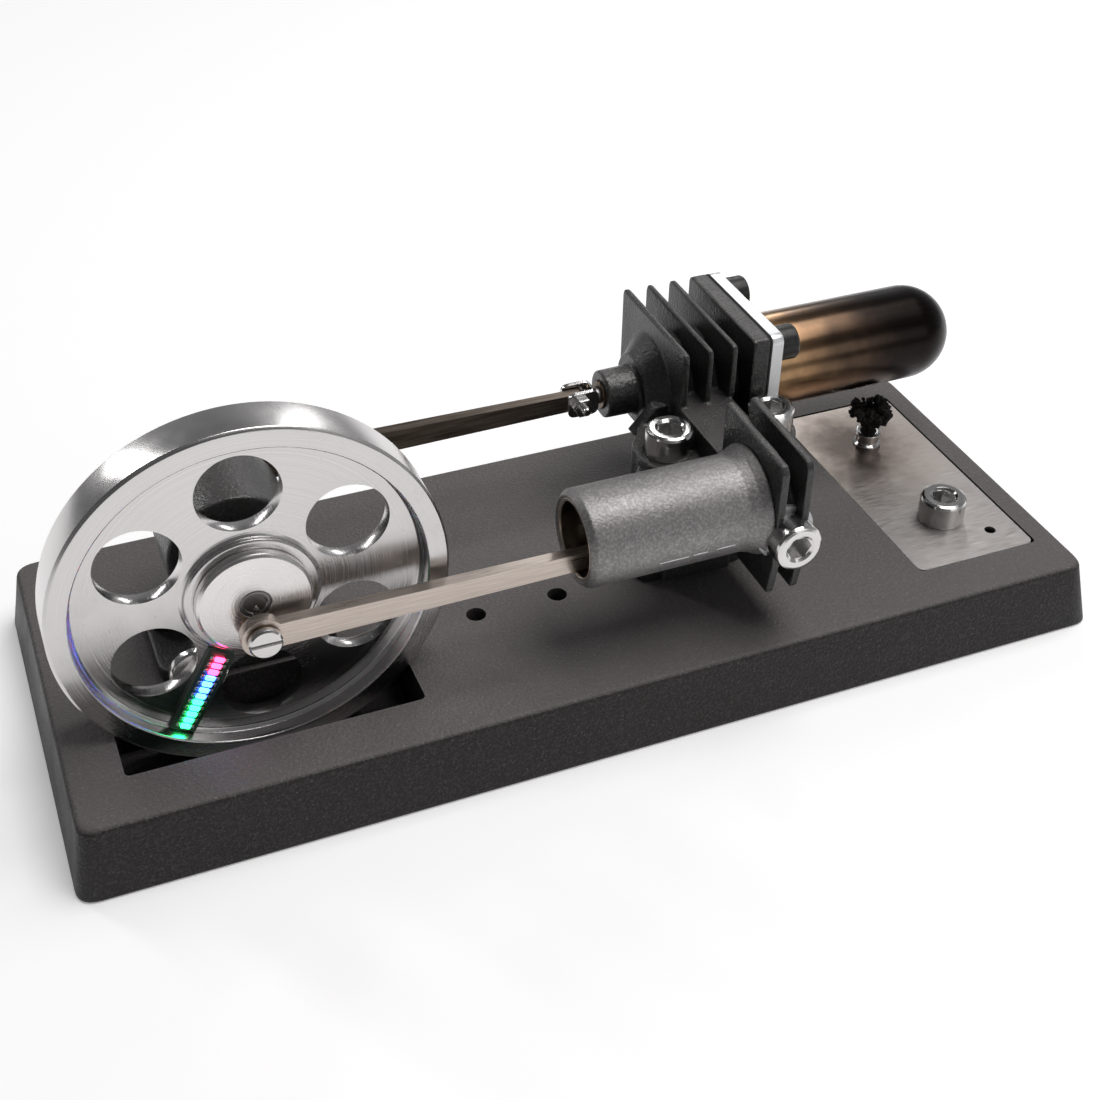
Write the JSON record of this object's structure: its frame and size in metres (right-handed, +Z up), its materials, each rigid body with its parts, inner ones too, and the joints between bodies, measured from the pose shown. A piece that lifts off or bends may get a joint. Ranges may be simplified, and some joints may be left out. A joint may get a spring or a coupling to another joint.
{
  "type": "stirling engine model",
  "caption": "Desk-top stirling engine on a drafted cast base, with twin parallel cylinders, finned cooler, round-ended hot cap, flywheel with a light strip, and a spirit burner.",
  "frame": {"origin": "middle of the base casting's underside", "axes": "+X along the cylinders towards the hot cap, +Y to the rear along the crankshaft, +Z up"},
  "size_m": [0.184, 0.074, 0.065],
  "materials": {
    "powder_coat": "textured dark grey coat on a casting",
    "gasket": "matt black sheet",
    "brushed_plate": "brushed",
    "bright_screw": "bright plated",
    "char": "burnt cotton",
    "bronze": "turned bronze",
    "clamp_aluminium": "milled",
    "tempered_steel": "heat-tinted",
    "black_screw": "black oxide",
    "seal_washer": "matt grey sealing washer",
    "bearing_steel": "ground",
    "shaft_steel": "ground",
    "polished_wheel": "turned and polished",
    "rod_metal": "brushed nickel-plated brass",
    "link_metal": "brushed, darkened",
    "piston_steel": "ground",
    "circuit_board": "solder mask",
    "red_light": "clear lens, lit red",
    "blue_light": "clear lens, lit blue",
    "green_light": "clear lens, lit green",
    "cell_steel": "bright"
  },
  "bodies": {
    "frame": {"base_plinth": "powder_coat", "tank_gasket": "gasket", "tank_lid": "brushed_plate", "filler_screw": "bright_screw", "wick_tube": "bright_screw", "wick": "char", "engine_block": "powder_coat", "cylinder_liner": "bronze", "gland_bush": "bronze", "cap_gasket": "gasket", "clamp_plate": "clamp_aluminium", "hot_cap": "tempered_steel", "clamp_screws": "black_screw", "foot_screws": "bright_screw", "plug_washer": "seal_washer", "passage_plug": "bright_screw", "bearing_pedestal": "powder_coat", "pedestal_screws": "bright_screw", "front_bearing_outer_ring": "bearing_steel", "front_bearing_balls": "bearing_steel", "rear_bearing_outer_ring": "bearing_steel", "rear_bearing_balls": "bearing_steel"},
    "crank": {"crankshaft": "shaft_steel", "front_bearing_inner_ring": "bearing_steel", "rear_bearing_inner_ring": "bearing_steel", "flywheel": "polished_wheel", "flywheel_hub": "polished_wheel", "hub_set_screw": "black_screw", "crank_disc": "polished_wheel", "disc_set_screw": "black_screw", "power_crank_pin": "black_screw", "displacer_crank_pin": "black_screw", "light_board": "circuit_board", "red_lights": "red_light", "blue_lights": "blue_light", "green_lights": "green_light", "button_cell": "cell_steel"},
    "power_key": {"hub_key": "bearing_steel"},
    "displacer_key": {"disc_key": "bearing_steel"},
    "power_rod": {"power_rod": "rod_metal", "power_rod_bush": "bronze"},
    "displacer_link": {"displacer_link": "link_metal", "displacer_link_bush": "bronze"},
    "piston": {"power_piston": "piston_steel", "wrist_pin": "bearing_steel"},
    "displacer": {"displacer": "tempered_steel", "displacer_shaft": "shaft_steel", "clevis": "shaft_steel", "clevis_screw": "shaft_steel", "clevis_nut": "shaft_steel"}
  },
  "joints": [
    {"name": "flywheel_spin", "type": "hinge", "parent": "frame", "child": "crank", "pos_m": [-0.0565, -0.013, 0.0335], "axis": [0, 1, 0], "continuous": true},
    {"name": "power_rod_swing", "type": "hinge", "parent": "crank", "child": "power_rod", "pos_m": [-0.0565, -0.0197, 0.0293], "axis": [0, 1, 0], "continuous": true},
    {"name": "hub_key_roll", "type": "hinge", "parent": "crank", "child": "power_key", "pos_m": [-0.0565, -0.0147, 0.0314], "axis": [0, 1, 0], "continuous": true},
    {"name": "piston_stroke", "type": "hinge", "parent": "power_key", "child": "piston", "pos_m": [-0.0565, -0.0197, 0.0335], "axis": [0, 1, 0], "continuous": true},
    {"name": "displacer_link_swing", "type": "hinge", "parent": "crank", "child": "displacer_link", "pos_m": [-0.0523, 0.0189, 0.0335], "axis": [0, 1, 0], "continuous": true},
    {"name": "disc_key_roll", "type": "hinge", "parent": "crank", "child": "displacer_key", "pos_m": [-0.0544, 0.0145, 0.0335], "axis": [0, 1, 0], "continuous": true},
    {"name": "displacer_stroke", "type": "hinge", "parent": "displacer_key", "child": "displacer", "pos_m": [-0.0523, 0.0189, 0.0335], "axis": [0, 1, 0], "continuous": true}
  ],
  "couplings": [
    {"joint": "power_rod_swing", "follows": "flywheel_spin", "ratio": -1},
    {"joint": "hub_key_roll", "follows": "flywheel_spin", "ratio": -2},
    {"joint": "piston_stroke", "follows": "flywheel_spin", "ratio": 1},
    {"joint": "displacer_link_swing", "follows": "flywheel_spin", "ratio": -1},
    {"joint": "disc_key_roll", "follows": "flywheel_spin", "ratio": -2},
    {"joint": "displacer_stroke", "follows": "flywheel_spin", "ratio": 1}
  ]
}
